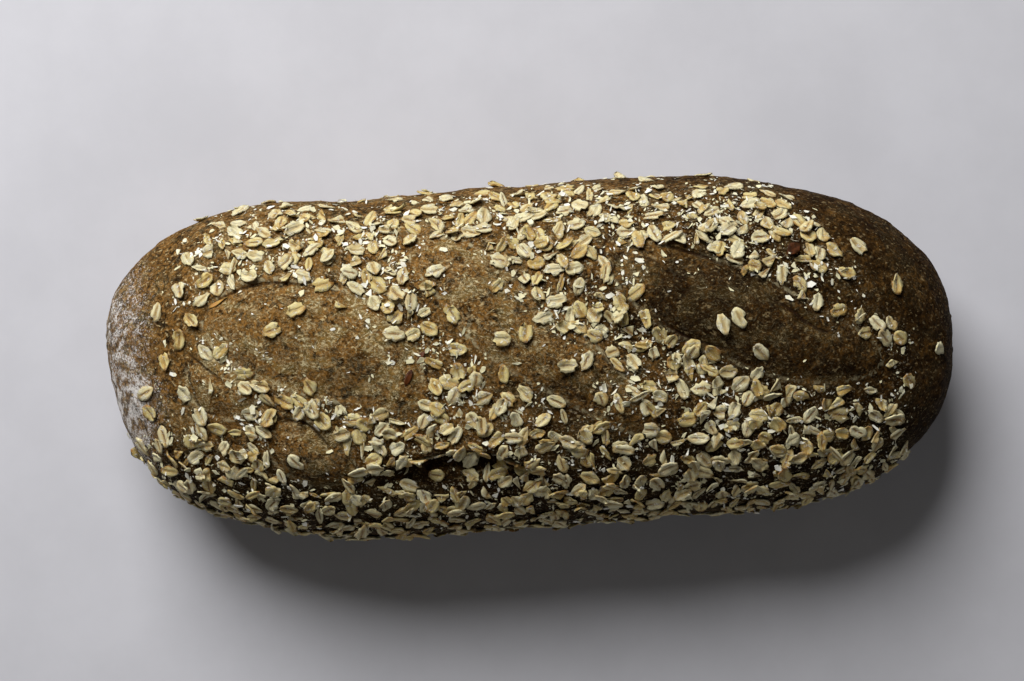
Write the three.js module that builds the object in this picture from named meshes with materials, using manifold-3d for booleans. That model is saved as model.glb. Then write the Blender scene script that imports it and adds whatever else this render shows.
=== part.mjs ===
// An oblong hearth loaf topped with rolled oats, lying on its flat base.
// Millimetres. X runs along the loaf, Y across it, +Z is up. The origin is under its middle, on the base.
import * as THREE from 'three';
import { mergeVertices } from 'three/addons/utils/BufferGeometryUtils.js';
import Module from 'manifold-3d';

const wasm = await Module();
wasm.setup();

// Driving dimensions of the loaf.
const LENGTH = 340;
const WIDTH = 137;
const HEIGHT = 88;
const WIDEST_HEIGHT = 33;       // height above the base at which the loaf is widest
const UNDERSIDE_DEPTH = 42;     // how deep the round underside would reach below the widest height, uncut

// Roundness of the outline seen from above, of the long profile and of the section. 2 is an ellipse.
const END_FULLNESS = { left: 4.5, right: 4 };
const OUTLINE_ROUNDNESS = 2.2;
const PROFILE_FULLNESS = 3.2;
const PROFILE_ROUNDNESS = 2.1;
const DOME_ROUNDNESS = 2.25;
const UNDERSIDE_ROUNDNESS = 2.7;

const SEGMENTS_AROUND = 68;
const SEGMENTS_ALONG = 52;
const CURVE_STEPS = 120;        // straight steps the middle line is read in
const SPINE_STEPS = 40;         // straight steps the line of a score or a valley is read in
const WELD_DISTANCE = 1e-4;
const CRUST_COLOUR = 0x6b4426;

// The middle line bends a little: across the loaf at stations from the left tip to the right tip.
const MIDDLE_LINE = [
  [-170, 11],
  [-152, 3],
  [-110, 0.5],
  [-60, -2.5],
  [0, 0],
  [60, 1.5],
  [110, -0.5],
  [170, -1],
];

// Scores that opened in the oven: smooth swollen crust between the oat-covered bands.
const SCORES = {
  left: { spine: [[-125, 17], [-104, 16], [-80, 9], [-60, 0], [-46, -16]], halfWidth: 20, rise: 3.4 },
  middle: { spine: [[-44, 44], [-26, 32], [-8, 12], [16, -6], [44, -30]], halfWidth: 13, rise: 2.4 },
  right: { spine: [[31, 38], [52, 25], [78, 12], [104, 0], [134, -8]], halfWidth: 16, rise: 3.6 },
  leftSide: { spine: [[-131, 0], [-119, -8], [-106, -12]], halfWidth: 10, rise: 2 },
  frontLeft: { spine: [[-101, -27], [-86, -33], [-70, -42]], halfWidth: 11, rise: 2.2 },
};
const CREST_SHARPNESS = 1.5;    // how quickly a score's swelling falls away from its spine

// Low ground between the scores, where the skin was not cut, and one deep fold in the front side.
const RIGHT_BAND_SPINE = [[4, 84], [-6, 44], [18, 16], [48, 0], [74, -13], [130, -36]];
const VALLEYS = {
  leftBand: { spine: [[-68, 82], [-58, 34], [-37, 0], [-16, -26]], halfWidth: 9, depth: 2.2 },
  rightBand: { spine: RIGHT_BAND_SPINE, halfWidth: 9, depth: 2.8 },
  frontFold: { spine: [[-70, -46], [-43, -39], [-25, -38], [-10, -41], [6, -50]], halfWidth: 6, depth: 6 },
};

// Rolled oat flakes that lie clear of the others: along the loaf, across it, and turn in degrees.
const FLAKE_LENGTH = 8.6;
const FLAKE_WIDTH = 6;
const LENGTH_VARIATION = { share: 0.06, pace: 2.1 };
const WIDTH_VARIATION = { share: 0.07, pace: 1.7 };
const FLAKE_THICKNESS = 0.9;
const FLAKE_CUP = 0.35;         // how far the rim of a flake dips below its middle
const FLAKE_SEGMENTS = [10, 5];
const FLAKE_COLOUR = 0xdcc793;
const CRUST_GAP = 0.4;          // clear space between the crust and a piece laid on it
const FLAKE_PLACES = [
  [-106, 35, -15], [-134, 31, -70], [-144, 23, 70], [-129, 19, -50], [-134, 12, 80],
  [-141, 4, -75], [-118, 7, 40], [-150, -8, 25], [-148, -16, -60], [-133, -9, -55],
  [-143, -25, -70], [-88, 21, 20], [-97, 14, 20], [-94, -13, -35], [-84, -8, -60],
  [-80, -21, -50], [-69, -21, 0], [-91, -36, -45], [-65, 43, 0], [-57, 29, -50],
  [-47, 32, 75], [-35, 33, 15], [-52, 10, -5], [-38, 12, -25], [-28, 4, -10],
  [-29, 17, -65], [-11, 7, -5], [-2, 9, 80], [-3, -14, -45], [-30, -14, 60],
  [-19, -15, 25], [141, 21, 90], [159, -4, 0], [135, 1, -50], [117, 12, 10],
  [121, 26, -25], [117, 35, -30], [127, 36, -40], [110, 29, -35], [72, 9, -75],
  [78, 11, -65], [13, -4, 0], [20, -3, 60], [40, 22, 35], [89, 41, 0],
  [68, -2, -50], [86, -2, -50], [74, -9, 0], [63, -15, 0], [145, -16, -40],
  [105, -27, 50],
];

// Bran and husk pieces baked on among the oats. A place is along, across and turn in degrees,
// and a size is length, width and thickness.
const HUSKS = [
  { name: 'dark_husk', place: [101, 36, 45], size: [9.5, 5, 1.6], colour: 0x3a1c10 },
  { name: 'red_husk', place: [-47, -6, 65], size: [7, 2.8, 0.8], colour: 0x7a2f17 },
  { name: 'red_husk_small', place: [-42, 2, 50], size: [4.5, 2.2, 0.7], colour: 0x8a3d1c },
  { name: 'bran_sliver', place: [-119, 26, 32], size: [9, 1.7, 0.7], colour: 0xb98a4e },
];

const clamp01 = (value) => Math.min(Math.max(value, 0), 1);
const signedPower = (value, power) => Math.sign(value) * Math.abs(value) ** power;

// A superellipse's height over its half-length: 1 in the middle and 0 at the tip.
function taper(station, fullness, roundness) {
  return (1 - Math.abs(station) ** fullness) ** (1 / roundness);
}

const middleCurve = new THREE.SplineCurve(MIDDLE_LINE.map(([x, y]) => new THREE.Vector2(x, y)));
const middlePoints = middleCurve.getPoints(CURVE_STEPS);

function middleOffset(x) {
  const next = Math.max(middlePoints.findIndex((point) => point.x >= x), 1);
  const [before, after] = [middlePoints[next - 1], middlePoints[next]];
  return THREE.MathUtils.mapLinear(x, before.x, after.x, before.y, after.y);
}

function traced(feature) {
  const curve = new THREE.SplineCurve(feature.spine.map(([x, y]) => new THREE.Vector2(x, y)));
  return { ...feature, points: curve.getPoints(SPINE_STEPS) };
}

const scores = Object.values(SCORES).map(traced);
const valleys = Object.values(VALLEYS).map(traced);

// The distance from a place to a traced line, and how far along the line the nearest point is, 0 to 1.
function nearest(points, place) {
  const distances = points.map((point) => point.distanceTo(place));
  const distance = Math.min(...distances);
  return { distance, along: distances.indexOf(distance) / (points.length - 1) };
}

// A score and a valley both run out gently at their ends.
const runOut = (along) => Math.sqrt(Math.sin(Math.PI * along));

// How far the crust stands proud of the plain dome at a place seen from above.
function relief(x, y) {
  const place = new THREE.Vector2(x, y);
  const swelling = scores.reduce((sum, score) => {
    const { distance, along } = nearest(score.points, place);
    const lensWidth = score.halfWidth * runOut(along) + 1;
    const crest = clamp01(1 - (distance / lensWidth) ** 2) ** CREST_SHARPNESS;
    return sum + score.rise * runOut(along) * crest;
  }, 0);
  const sinking = valleys.reduce((sum, valley) => {
    const { distance, along } = nearest(valley.points, place);
    return sum + valley.depth * runOut(along) * Math.exp(-((distance / valley.halfWidth) ** 2));
  }, 0);
  return swelling - sinking;
}

// Moves a point of the unit sphere, whose poles are the loaf's tips, to the loaf's skin.
// The scores and valleys fade out down the sides and leave the underside plain.
function toSkin(point) {
  const station = THREE.MathUtils.clamp(point.y, -1, 1);
  const turn = Math.atan2(point.z, -point.x);
  const fullness = station < 0 ? END_FULLNESS.left : END_FULLNESS.right;
  const x = station * LENGTH / 2;
  const halfWidth = (WIDTH / 2) * taper(station, fullness, OUTLINE_ROUNDNESS);
  const upper = turn >= 0;
  const reach = upper ? HEIGHT - WIDEST_HEIGHT : UNDERSIDE_DEPTH;
  const roundness = upper ? DOME_ROUNDNESS : UNDERSIDE_ROUNDNESS;
  const halfHeight = reach * taper(station, PROFILE_FULLNESS, PROFILE_ROUNDNESS);
  const across = halfWidth * signedPower(Math.cos(turn), 2 / roundness);
  const rise = halfHeight * signedPower(Math.sin(turn), 2 / roundness);
  const topSide = clamp01(0.5 + 2 * Math.sin(turn));
  const proud = topSide * relief(x, across + middleOffset(x));
  const radius = Math.max(Math.hypot(across, rise), 1);
  const y = across * (1 + proud / radius) + middleOffset(x);
  const z = rise * (1 + proud / radius) + WIDEST_HEIGHT;
  return new THREE.Vector3(x, y, z);
}

function solidOf(geometry) {
  const plain = geometry.clone();
  plain.deleteAttribute('normal');
  plain.deleteAttribute('uv');
  const merged = mergeVertices(plain, WELD_DISTANCE);
  const vertProperties = new Float32Array(merged.attributes.position.array);
  const triVerts = new Uint32Array(merged.index.array);
  return new wasm.Manifold(new wasm.Mesh({ numProp: 3, vertProperties, triVerts }));
}

function geometryOf(solid) {
  const { vertProperties, triVerts } = solid.getMesh();
  const geometry = new THREE.BufferGeometry();
  geometry.setAttribute('position', new THREE.BufferAttribute(vertProperties, 3));
  geometry.setIndex(new THREE.BufferAttribute(triVerts, 1));
  geometry.computeVertexNormals();
  return geometry;
}

function namedMesh(name, geometry, colour, roughness) {
  const material = new THREE.MeshStandardMaterial({ color: colour, roughness, metalness: 0 });
  const mesh = new THREE.Mesh(geometry, material);
  mesh.name = name;
  return mesh;
}

// The baked body: a closed skin with its underside cut flat where it stood on the hearth.
function makeLoaf() {
  const skin = new THREE.SphereGeometry(1, SEGMENTS_AROUND, SEGMENTS_ALONG);
  const positions = skin.attributes.position;
  const point = new THREE.Vector3();
  for (let i = 0; i < positions.count; i += 1) {
    point.fromBufferAttribute(positions, i);
    const moved = toSkin(point);
    positions.setXYZ(i, moved.x, moved.y, moved.z);
  }
  const hearth = new THREE.BoxGeometry(LENGTH * 2, WIDTH * 2, HEIGHT);
  hearth.translate(0, 0, -HEIGHT / 2);
  const body = solidOf(skin).subtract(solidOf(hearth));
  return namedMesh('loaf', geometryOf(body), CRUST_COLOUR, 0.75);
}

const loaf = makeLoaf();
const caster = new THREE.Raycaster();
const DOWN = new THREE.Vector3(0, 0, -1);

function crustAt(x, y) {
  caster.set(new THREE.Vector3(x, y, HEIGHT * 2), DOWN);
  return caster.intersectObject(loaf)[0].point;
}

// Lays a thin piece on the crust, its flat side along the slope and its long side turned by an angle.
function layOnCrust(mesh, [x, y, turn], length, width, thickness) {
  const angle = THREE.MathUtils.degToRad(turn);
  const lengthways = new THREE.Vector2(Math.cos(angle), Math.sin(angle)).multiplyScalar(length / 2);
  const sideways = new THREE.Vector2(-Math.sin(angle), Math.cos(angle)).multiplyScalar(width / 2);
  const front = crustAt(x + lengthways.x, y + lengthways.y);
  const back = crustAt(x - lengthways.x, y - lengthways.y);
  const left = crustAt(x + sideways.x, y + sideways.y);
  const right = crustAt(x - sideways.x, y - sideways.y);
  const xAxis = front.clone().sub(back).normalize();
  const zAxis = xAxis.clone().cross(left.clone().sub(right)).normalize();
  const yAxis = zAxis.clone().cross(xAxis);
  const basis = new THREE.Matrix4().makeBasis(xAxis, yAxis, zAxis);
  const centre = crustAt(x, y);
  const heights = [centre, front, back, left, right].map((place) => place.clone().sub(centre).dot(zAxis));
  const highest = Math.max(...heights);
  mesh.quaternion.setFromRotationMatrix(basis);
  mesh.position.copy(centre).addScaledVector(zAxis, highest + CRUST_GAP + thickness / 2);
}

// A rolled flake: a thin oval, cupped so that its rim follows the crust.
function flakeGeometry(length, width, thickness, cup) {
  const geometry = new THREE.SphereGeometry(1, ...FLAKE_SEGMENTS);
  geometry.rotateX(Math.PI / 2);
  const positions = geometry.attributes.position;
  for (let i = 0; i < positions.count; i += 1) {
    const [x, y, z] = [positions.getX(i), positions.getY(i), positions.getZ(i)];
    const rim = x * x + y * y;
    positions.setXYZ(i, x * length / 2, y * width / 2, z * thickness / 2 - cup * rim);
  }
  return geometry;
}

function makeFlake(place, index) {
  const length = FLAKE_LENGTH * (1 + LENGTH_VARIATION.share * Math.sin(index * LENGTH_VARIATION.pace));
  const width = FLAKE_WIDTH * (1 + WIDTH_VARIATION.share * Math.cos(index * WIDTH_VARIATION.pace));
  const geometry = flakeGeometry(length, width, FLAKE_THICKNESS, FLAKE_CUP / 2);
  const number = String(index + 1).padStart(2, '0');
  const flake = namedMesh(`oat_flake_${number}`, geometry, FLAKE_COLOUR, 0.85);
  layOnCrust(flake, place, length, width, FLAKE_THICKNESS + FLAKE_CUP);
  return flake;
}

function makeHusk({ name, place, size, colour }) {
  const [length, width, thickness] = size;
  const husk = namedMesh(name, flakeGeometry(length, width, thickness, 0), colour, 0.6);
  layOnCrust(husk, place, length, width, thickness);
  return husk;
}

const oatLoaf = new THREE.Group();
oatLoaf.add(loaf);
oatLoaf.add(...FLAKE_PLACES.map(makeFlake));
oatLoaf.add(...HUSKS.map(makeHusk));

// The bend of the middle line leaves the loaf a little to one side, so the whole is moved over its origin.
const box = new THREE.Box3().setFromObject(loaf);
oatLoaf.position.y = -(box.min.y + box.max.y) / 2;

export default oatLoaf;
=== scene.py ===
"""An oblong hearth loaf topped with rolled oats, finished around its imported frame.

Laid out as a Blender add-on and run as a script. Shapes are worked out in millimetres, on the axes of the
frame, and brought to metres when a piece is finished.
"""
import math
import random

import bmesh
import bpy
import numpy as np
from bpy.props import FloatProperty, FloatVectorProperty, IntProperty, PointerProperty
from mathutils import Matrix, Vector, noise
from mathutils.bvhtree import BVHTree


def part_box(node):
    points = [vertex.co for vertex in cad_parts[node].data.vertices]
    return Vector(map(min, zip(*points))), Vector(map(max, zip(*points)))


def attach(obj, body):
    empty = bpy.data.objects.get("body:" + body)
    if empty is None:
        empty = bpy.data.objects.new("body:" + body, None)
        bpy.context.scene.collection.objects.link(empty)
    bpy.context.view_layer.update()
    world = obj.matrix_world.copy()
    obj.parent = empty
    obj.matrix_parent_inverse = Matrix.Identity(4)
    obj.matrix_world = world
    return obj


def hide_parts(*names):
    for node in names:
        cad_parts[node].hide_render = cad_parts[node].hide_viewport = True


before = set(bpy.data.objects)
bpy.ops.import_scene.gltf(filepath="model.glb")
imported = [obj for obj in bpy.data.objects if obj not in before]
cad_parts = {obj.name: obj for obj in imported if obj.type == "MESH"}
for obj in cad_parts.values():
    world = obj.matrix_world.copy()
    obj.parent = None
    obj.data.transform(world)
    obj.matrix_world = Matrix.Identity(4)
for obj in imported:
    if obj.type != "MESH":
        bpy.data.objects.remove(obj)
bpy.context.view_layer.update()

bl_info = {
    "name": "Oat-Topped Hearth Loaf",
    "version": (1, 0, 0),
    "blender": (4, 5, 0),
    "location": "3D View > Sidebar > Loaf",
    "description": "Builds a hearth loaf topped with rolled oats around its packed frame",
    "category": "Object",
}

MM = 0.001
ORDER_DIRECTION = Vector((1.0, 0.618, 0.271))       # vertices and faces are sorted along it

# ---------------------------------------------------------------- the loaf's plain shape, in millimetres

LOAF_LOW, LOAF_HIGH = (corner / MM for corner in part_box("loaf"))
LENGTH = LOAF_HIGH.x - LOAF_LOW.x
WIDTH = 137.0
HEIGHT = 88.0
WIDEST_HEIGHT = 33.0        # height above the base at which the loaf is widest
UNDERSIDE_DEPTH = 42.0      # how deep the round underside would reach below the widest height, uncut

# Roundness of the outline seen from above, of the long profile and of the section. 2 is an ellipse.
LEFT_FULLNESS, RIGHT_FULLNESS = 4.5, 4.0
OUTLINE_ROUNDNESS = 2.2
PROFILE_FULLNESS = 3.2
PROFILE_ROUNDNESS = 2.1
DOME_ROUNDNESS = 2.25
UNDERSIDE_ROUNDNESS = 2.7

# The middle line bends a little: across the loaf at stations from the left tip to the right tip.
MIDDLE_LINE = [(-170, 11), (-152, 3), (-110, 0.5), (-60, -2.5), (0, 0), (60, 1.5), (110, -0.5), (170, -1)]

# Scores that opened in the oven: spine, half width and rise of the smooth swollen crust.
SCORES = {
    "left": ([(-125, 17), (-104, 16), (-80, 9), (-60, 0), (-46, -16)], 20, 3.4),
    "middle": ([(-44, 44), (-26, 32), (-8, 12), (16, -6), (44, -30)], 13, 2.4),
    "right": ([(31, 38), (52, 25), (78, 12), (104, 0), (134, -8)], 16, 3.6),
    "left_side": ([(-131, 0), (-119, -8), (-106, -12)], 10, 2.0),
    "front_left": ([(-101, -27), (-86, -33), (-70, -42)], 11, 2.2),
}

SCORE_SHOULDER = 1.5            # how softly a score's swelling runs out to its rim

# Low ground between the scores, where the skin was not cut: spine, half width and depth.
VALLEYS = {
    "left_band": ([(-68, 82), (-58, 34), (-37, 0), (-16, -26)], 9, 2.2),
    "right_band": ([(4, 84), (-6, 44), (18, 16), (48, 0), (74, -13), (130, -36)], 9, 2.8),
}

# The deep fold in the front side: the skin above it hangs over it.
FOLD_SPINE = [(-70, -46), (-43, -39), (-25, -38), (-10, -41), (6, -50)]
FOLD_DEPTH = 6.0
FOLD_STEEP, FOLD_GENTLE = 1.8, 6.5      # how quickly it falls on the side above and on the side below
FOLD_LIP, FOLD_LIP_PLACE, FOLD_LIP_WIDTH = 1.8, 5.0, 3      # the swollen skin above the fold

# Thin cracks and wrinkles where the skin tore or buckled: line, depth and height of the lip beside it.
CREASES = [
    ([(-127, 19), (-118, 27), (-106, 31.5), (-94, 32), (-82, 30)], 0.8, 0.5),
    ([(-132, 7), (-126, 2), (-117, -5)], 0.9, 0.7),
    ([(-132, 2), (-131, -5), (-129, -12), (-126, -16), (-121, -18)], 0.7, 0.3),
    ([(-97, -21), (-88, -21), (-82, -26), (-76, -34)], 1.4, 1.1),
    ([(-47, 37), (-47, 41), (-45, 44), (-41, 45)], 0.6, 0.3),
    ([(48, 41), (58, 38), (67, 35), (75, 30)], 1.5, 1.2),
    ([(90, 18), (97, 14), (106, 7), (113, 3)], 1.1, 0.9),
    ([(34, 46), (30, 42), (29, 37), (32, 32)], 0.5, 0.5),
    ([(40, 45), (37, 41), (36, 37), (39, 32)], 0.35, 0.4),
    ([(46, 14), (56, 6), (65, 2), (74, -1)], 0.9, 0.3),
]
CREASE_WIDTH = 1.1

SEGMENTS_AROUND, SEGMENTS_ALONG = 300, 318
UPPER_SHARE = 0.74          # the share of the segments around that lie above the widest height


def curve_through(places, count=61):
    """Points of a smooth curve through the places, evenly spread over its stretches."""
    knots = np.array(places, float)
    padded = np.vstack([2 * knots[0] - knots[1], knots, 2 * knots[-1] - knots[-2]])
    spans = np.linspace(0, len(knots) - 1, count)
    index = np.minimum(spans.astype(int), len(knots) - 2)
    part = (spans - index)[:, None]
    before, start, end, after = (padded[index + k] for k in range(4))
    bend = 2 * before - 5 * start + 4 * end - after
    swing = -before + 3 * start - 3 * end + after
    return start + 0.5 * part * (end - before + part * (bend + part * swing))


def nearest_on(line, places):
    """Each place's signed distance to the line, positive on the line's left, and how far along that is."""
    best = np.full(len(places), np.inf)
    along = np.zeros(len(places))
    side = np.ones(len(places))
    for k, point in enumerate(line):
        step = line[min(k + 1, len(line) - 1)] - line[max(k - 1, 0)]
        offset = places - point
        distance = np.hypot(offset[:, 0], offset[:, 1])
        closer = distance < best
        best[closer] = distance[closer]
        along[closer] = k / (len(line) - 1)
        side[closer] = np.sign(step[0] * offset[closer, 1] - step[1] * offset[closer, 0])
    return best * np.where(side == 0, 1, side), along


def run_out(along):
    """1 in the middle of a line and 0 at its ends."""
    return np.sqrt(np.clip(np.sin(math.pi * along), 0, 1))


def smooth_step(low, high, values):
    part = np.clip((values - low) / (high - low), 0, 1)
    return part * part * (3 - 2 * part)


def taper(station, fullness, roundness):
    """A superellipse's height over its half-length: 1 in the middle and 0 at the tip."""
    return np.clip(1 - np.abs(station) ** fullness, 0, 1) ** (1 / roundness)


def middle_offset(x):
    line = curve_through(MIDDLE_LINE, 121)
    return np.interp(x, line[:, 0], line[:, 1])


def even_stations(share):
    """Stations from -1 to 1, evenly spaced along the skin, for shares of the way from 0 to 1."""
    station = np.sin(np.linspace(-math.pi / 2, math.pi / 2, 4001))
    half_width = WIDTH / 2 * taper(station, RIGHT_FULLNESS, OUTLINE_ROUNDNESS)
    steps = np.hypot(np.diff(station) * LENGTH / 2, np.diff(half_width))
    way = np.concatenate([[0], np.cumsum(steps)])
    return np.interp(share * way[-1], way, station)


def signed_power(values, power):
    return np.sign(values) * np.abs(values) ** power


def score_fields(places):
    """The swelling of the scores, how far inside one each place is, and its distance to the nearest rim."""
    rise = np.zeros(len(places))
    bloom = np.zeros(len(places))
    rim = np.full(len(places), -99.0)
    for spine, half_width, height in SCORES.values():
        distance, along = nearest_on(curve_through(spine), places)
        lens = half_width * run_out(along) + 1
        ratio = np.abs(distance) / lens
        rise += height * run_out(along) * np.clip(1 - ratio ** 2, 0, 1) ** SCORE_SHOULDER
        bloom = np.maximum(bloom, smooth_step(1.12, 0.9, ratio))
        rim = np.maximum(rim, (1 - ratio) * lens)
    return rise, bloom, rim


def fold_profile(places):
    """How far the fold and the lip above it move the skin, and how deep in the fold each place is, which
    sets the painted shade in it.
    """
    distance, along = nearest_on(curve_through(FOLD_SPINE), places)
    above = distance > 0
    width = np.where(above, FOLD_STEEP, FOLD_GENTLE)
    sink = FOLD_DEPTH * np.exp(-(distance / width) ** 2)
    lip = np.where(above, FOLD_LIP * np.exp(-((distance - FOLD_LIP_PLACE) / FOLD_LIP_WIDTH) ** 2), 0)
    return run_out(along) * (lip - sink), run_out(along) * np.exp(-(distance / width) ** 2)


def broad_relief(places):
    """How far the skin stands proud of the plain dome at places seen from above."""
    rise, bloom, rim = score_fields(places)
    for spine, half_width, depth in VALLEYS.values():
        distance, along = nearest_on(curve_through(spine), places)
        rise -= depth * run_out(along) * np.exp(-(distance / half_width) ** 2)
    fold, hollow_shade = fold_profile(places)
    return rise + fold, bloom, rim, hollow_shade


def skin_points(sphere):
    """Carries points of the unit sphere, poles on Z, to the skin, and gives the fields found there."""
    polar = np.arccos(np.clip(sphere[:, 2], -1, 1)) / math.pi
    station = even_stations(1 - polar)
    around = np.arctan2(sphere[:, 1], sphere[:, 0]) / (2 * math.pi) % 1
    upper = around < UPPER_SHARE
    turn = np.where(upper, around / UPPER_SHARE, -(1 - around) / (1 - UPPER_SHARE)) * math.pi
    x = station * LENGTH / 2
    fullness = np.where(station < 0, LEFT_FULLNESS, RIGHT_FULLNESS)
    half_width = WIDTH / 2 * taper(station, fullness, OUTLINE_ROUNDNESS)
    reach = np.where(upper, HEIGHT - WIDEST_HEIGHT, UNDERSIDE_DEPTH)
    power = 2 / np.where(upper, DOME_ROUNDNESS, UNDERSIDE_ROUNDNESS)
    across = half_width * signed_power(np.cos(turn), power)
    rise = reach * taper(station, PROFILE_FULLNESS, PROFILE_ROUNDNESS) * signed_power(np.sin(turn), power)
    top_side = np.clip(0.5 + 2 * np.sin(turn), 0, 1)
    relief, bloom, rim, hollow_shade = broad_relief(np.column_stack([x, across + middle_offset(x)]))
    swell = 1 + top_side * relief / np.maximum(np.hypot(across, rise), 1)
    points = np.column_stack([x, across * swell + middle_offset(x), rise * swell + WIDEST_HEIGHT])
    points[:, 2] = np.maximum(points[:, 2], 0)
    fields = {"bloom": bloom * top_side, "rim": rim, "hollow_shade": hollow_shade * top_side, "top_side": top_side}
    return points, fields


# ---------------------------------------------------------------- meshes and pieces


def rows(parts, key, width=3):
    """One property of all of a mesh's vertices or faces, a row for each."""
    flat = np.empty(len(parts) * width, np.float32)
    parts.foreach_get(key, flat)
    return flat.reshape(-1, width).astype(float)


def coordinates(mesh):
    return rows(mesh.vertices, "co")


def set_coordinates(mesh, points):
    mesh.vertices.foreach_set("co", np.asarray(points, np.float32).ravel())
    mesh.update()


def set_attribute(mesh, name, values):
    attribute = mesh.attributes.get(name) or mesh.attributes.new(name, "FLOAT", "POINT")
    attribute.data.foreach_set("value", np.asarray(values, np.float32))


def spot_in_order(place):
    """A number for a place, that vertices and faces are sorted by."""
    return place.dot(ORDER_DIRECTION)


def mesh_from(name, bm):
    """A mesh of the bmesh, with its faces in an order that is the same each run."""
    bm.faces.sort(key=lambda face: spot_in_order(face.calc_center_median()))
    mesh = bpy.data.meshes.new(name)
    bm.to_mesh(mesh)
    bm.free()
    return mesh


def finish_piece(name, mesh, slot, material, *nodes, smooth=True):
    """Links a mesh in millimetres as a piece in metres that rides on the loaf and replaces CAD nodes."""
    mesh.transform(Matrix.Scale(MM, 4))
    mesh.polygons.foreach_set("use_smooth", [smooth] * len(mesh.polygons))
    mesh.materials.clear()
    mesh.materials.append(material)
    piece = bpy.data.objects.new(name, mesh)
    bpy.context.scene.collection.objects.link(piece)
    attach(piece, "root")
    if nodes:
        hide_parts(*nodes)
    return piece


# ---------------------------------------------------------------- material nodes

FLAKE_MAP = "flake"         # the name of a flake's own UV map
FLOOR_SHADE = 0.93          # how much darker the clouds in the floor are


class Nodes:
    """Builds one node material, a node at a time."""

    def __init__(self, name):
        self.material = bpy.data.materials.new(name)
        self.material.use_nodes = True
        self.tree = self.material.node_tree
        self.shader = self.tree.nodes["Principled BSDF"]

    def feed(self, socket, value):
        if isinstance(value, bpy.types.NodeSocket):
            self.tree.links.new(value, socket)
        else:
            socket.default_value = value

    def node(self, kind, output=0, settings=None, **inputs):
        made = self.tree.nodes.new("ShaderNode" + kind)
        for key, value in (settings or {}).items():
            setattr(made, key, value)
        for key, value in inputs.items():
            self.feed(made.inputs[key.replace("_", " ")], value)
        return made.outputs[output]

    def place(self, scale=(1, 1, 1), turn=(0, 0, 0)):
        """Object coordinates in millimetres, stretched and turned."""
        here = self.node("TexCoord", "Object")
        size = [part / MM for part in scale]
        return self.node("Mapping", Vector=here, Scale=size, Rotation=turn)

    def attribute(self, name):
        return self.node("Attribute", "Fac", settings={"attribute_name": name})

    def noise(self, vector, period, detail, rough, **more):
        """Noise with features about one period wide."""
        return self.node("TexNoise", "Fac", Vector=vector, Scale=1 / period, Detail=detail,
                         Roughness=rough, **more)

    def math(self, operation, first, second=0.0, third=0.0):
        made = self.tree.nodes.new("ShaderNodeMath")
        made.operation = operation
        for socket, value in zip(made.inputs, (first, second, third)):
            self.feed(socket, value)
        return made.outputs[0]

    def times(self, first, second):
        return self.math("MULTIPLY", first, second)

    def plus(self, first, second):
        return self.math("ADD", first, second)

    def larger(self, first, second):
        return self.math("MAXIMUM", first, second)

    def size_of(self, value):
        return self.math("ABSOLUTE", value)

    def swing(self, noise_value, amount):
        """Noise brought to swing about 0, by an amount."""
        return self.times(self.math("SUBTRACT", noise_value, 0.5), amount)

    def span(self, value, low, high, to_low=0.0, to_high=1.0):
        """Carries low..high to to_low..to_high smoothly, and holds the ends."""
        made = self.tree.nodes.new("ShaderNodeMapRange")
        made.interpolation_type = "SMOOTHSTEP"
        for socket, number in zip(made.inputs[:5], (value, low, high, to_low, to_high)):
            self.feed(socket, number)
        return made.outputs[0]

    def mix(self, factor, first, second, blend="MIX"):
        """The second colour laid over the first. A colour is a socket or three numbers."""
        made = self.tree.nodes.new("ShaderNodeMix")
        made.data_type = "RGBA"
        made.blend_type = blend
        self.feed(made.inputs[0], factor)
        for socket, colour in ((made.inputs[6], first), (made.inputs[7], second)):
            self.feed(socket, colour if isinstance(colour, bpy.types.NodeSocket) else (*colour, 1.0))
        return made.outputs[2]

    def bump(self, height, distance_mm, strength=1.0, normal=None):
        made = self.tree.nodes.new("ShaderNodeBump")
        made.inputs["Strength"].default_value = strength
        made.inputs["Distance"].default_value = distance_mm * MM
        self.feed(made.inputs["Height"], height)
        if normal is not None:
            self.feed(made.inputs["Normal"], normal)
        return made.outputs[0]

    def finish(self, colour, roughness, normal=None, specular=None):
        """Feeds the shader and gives the finished material."""
        self.feed(self.shader.inputs["Base Color"], colour)
        self.feed(self.shader.inputs["Roughness"], roughness)
        if normal is not None:
            self.feed(self.shader.inputs["Normal"], normal)
        if specular is not None:
            self.shader.inputs["Specular IOR Level"].default_value = specular
        return self.material


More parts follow.
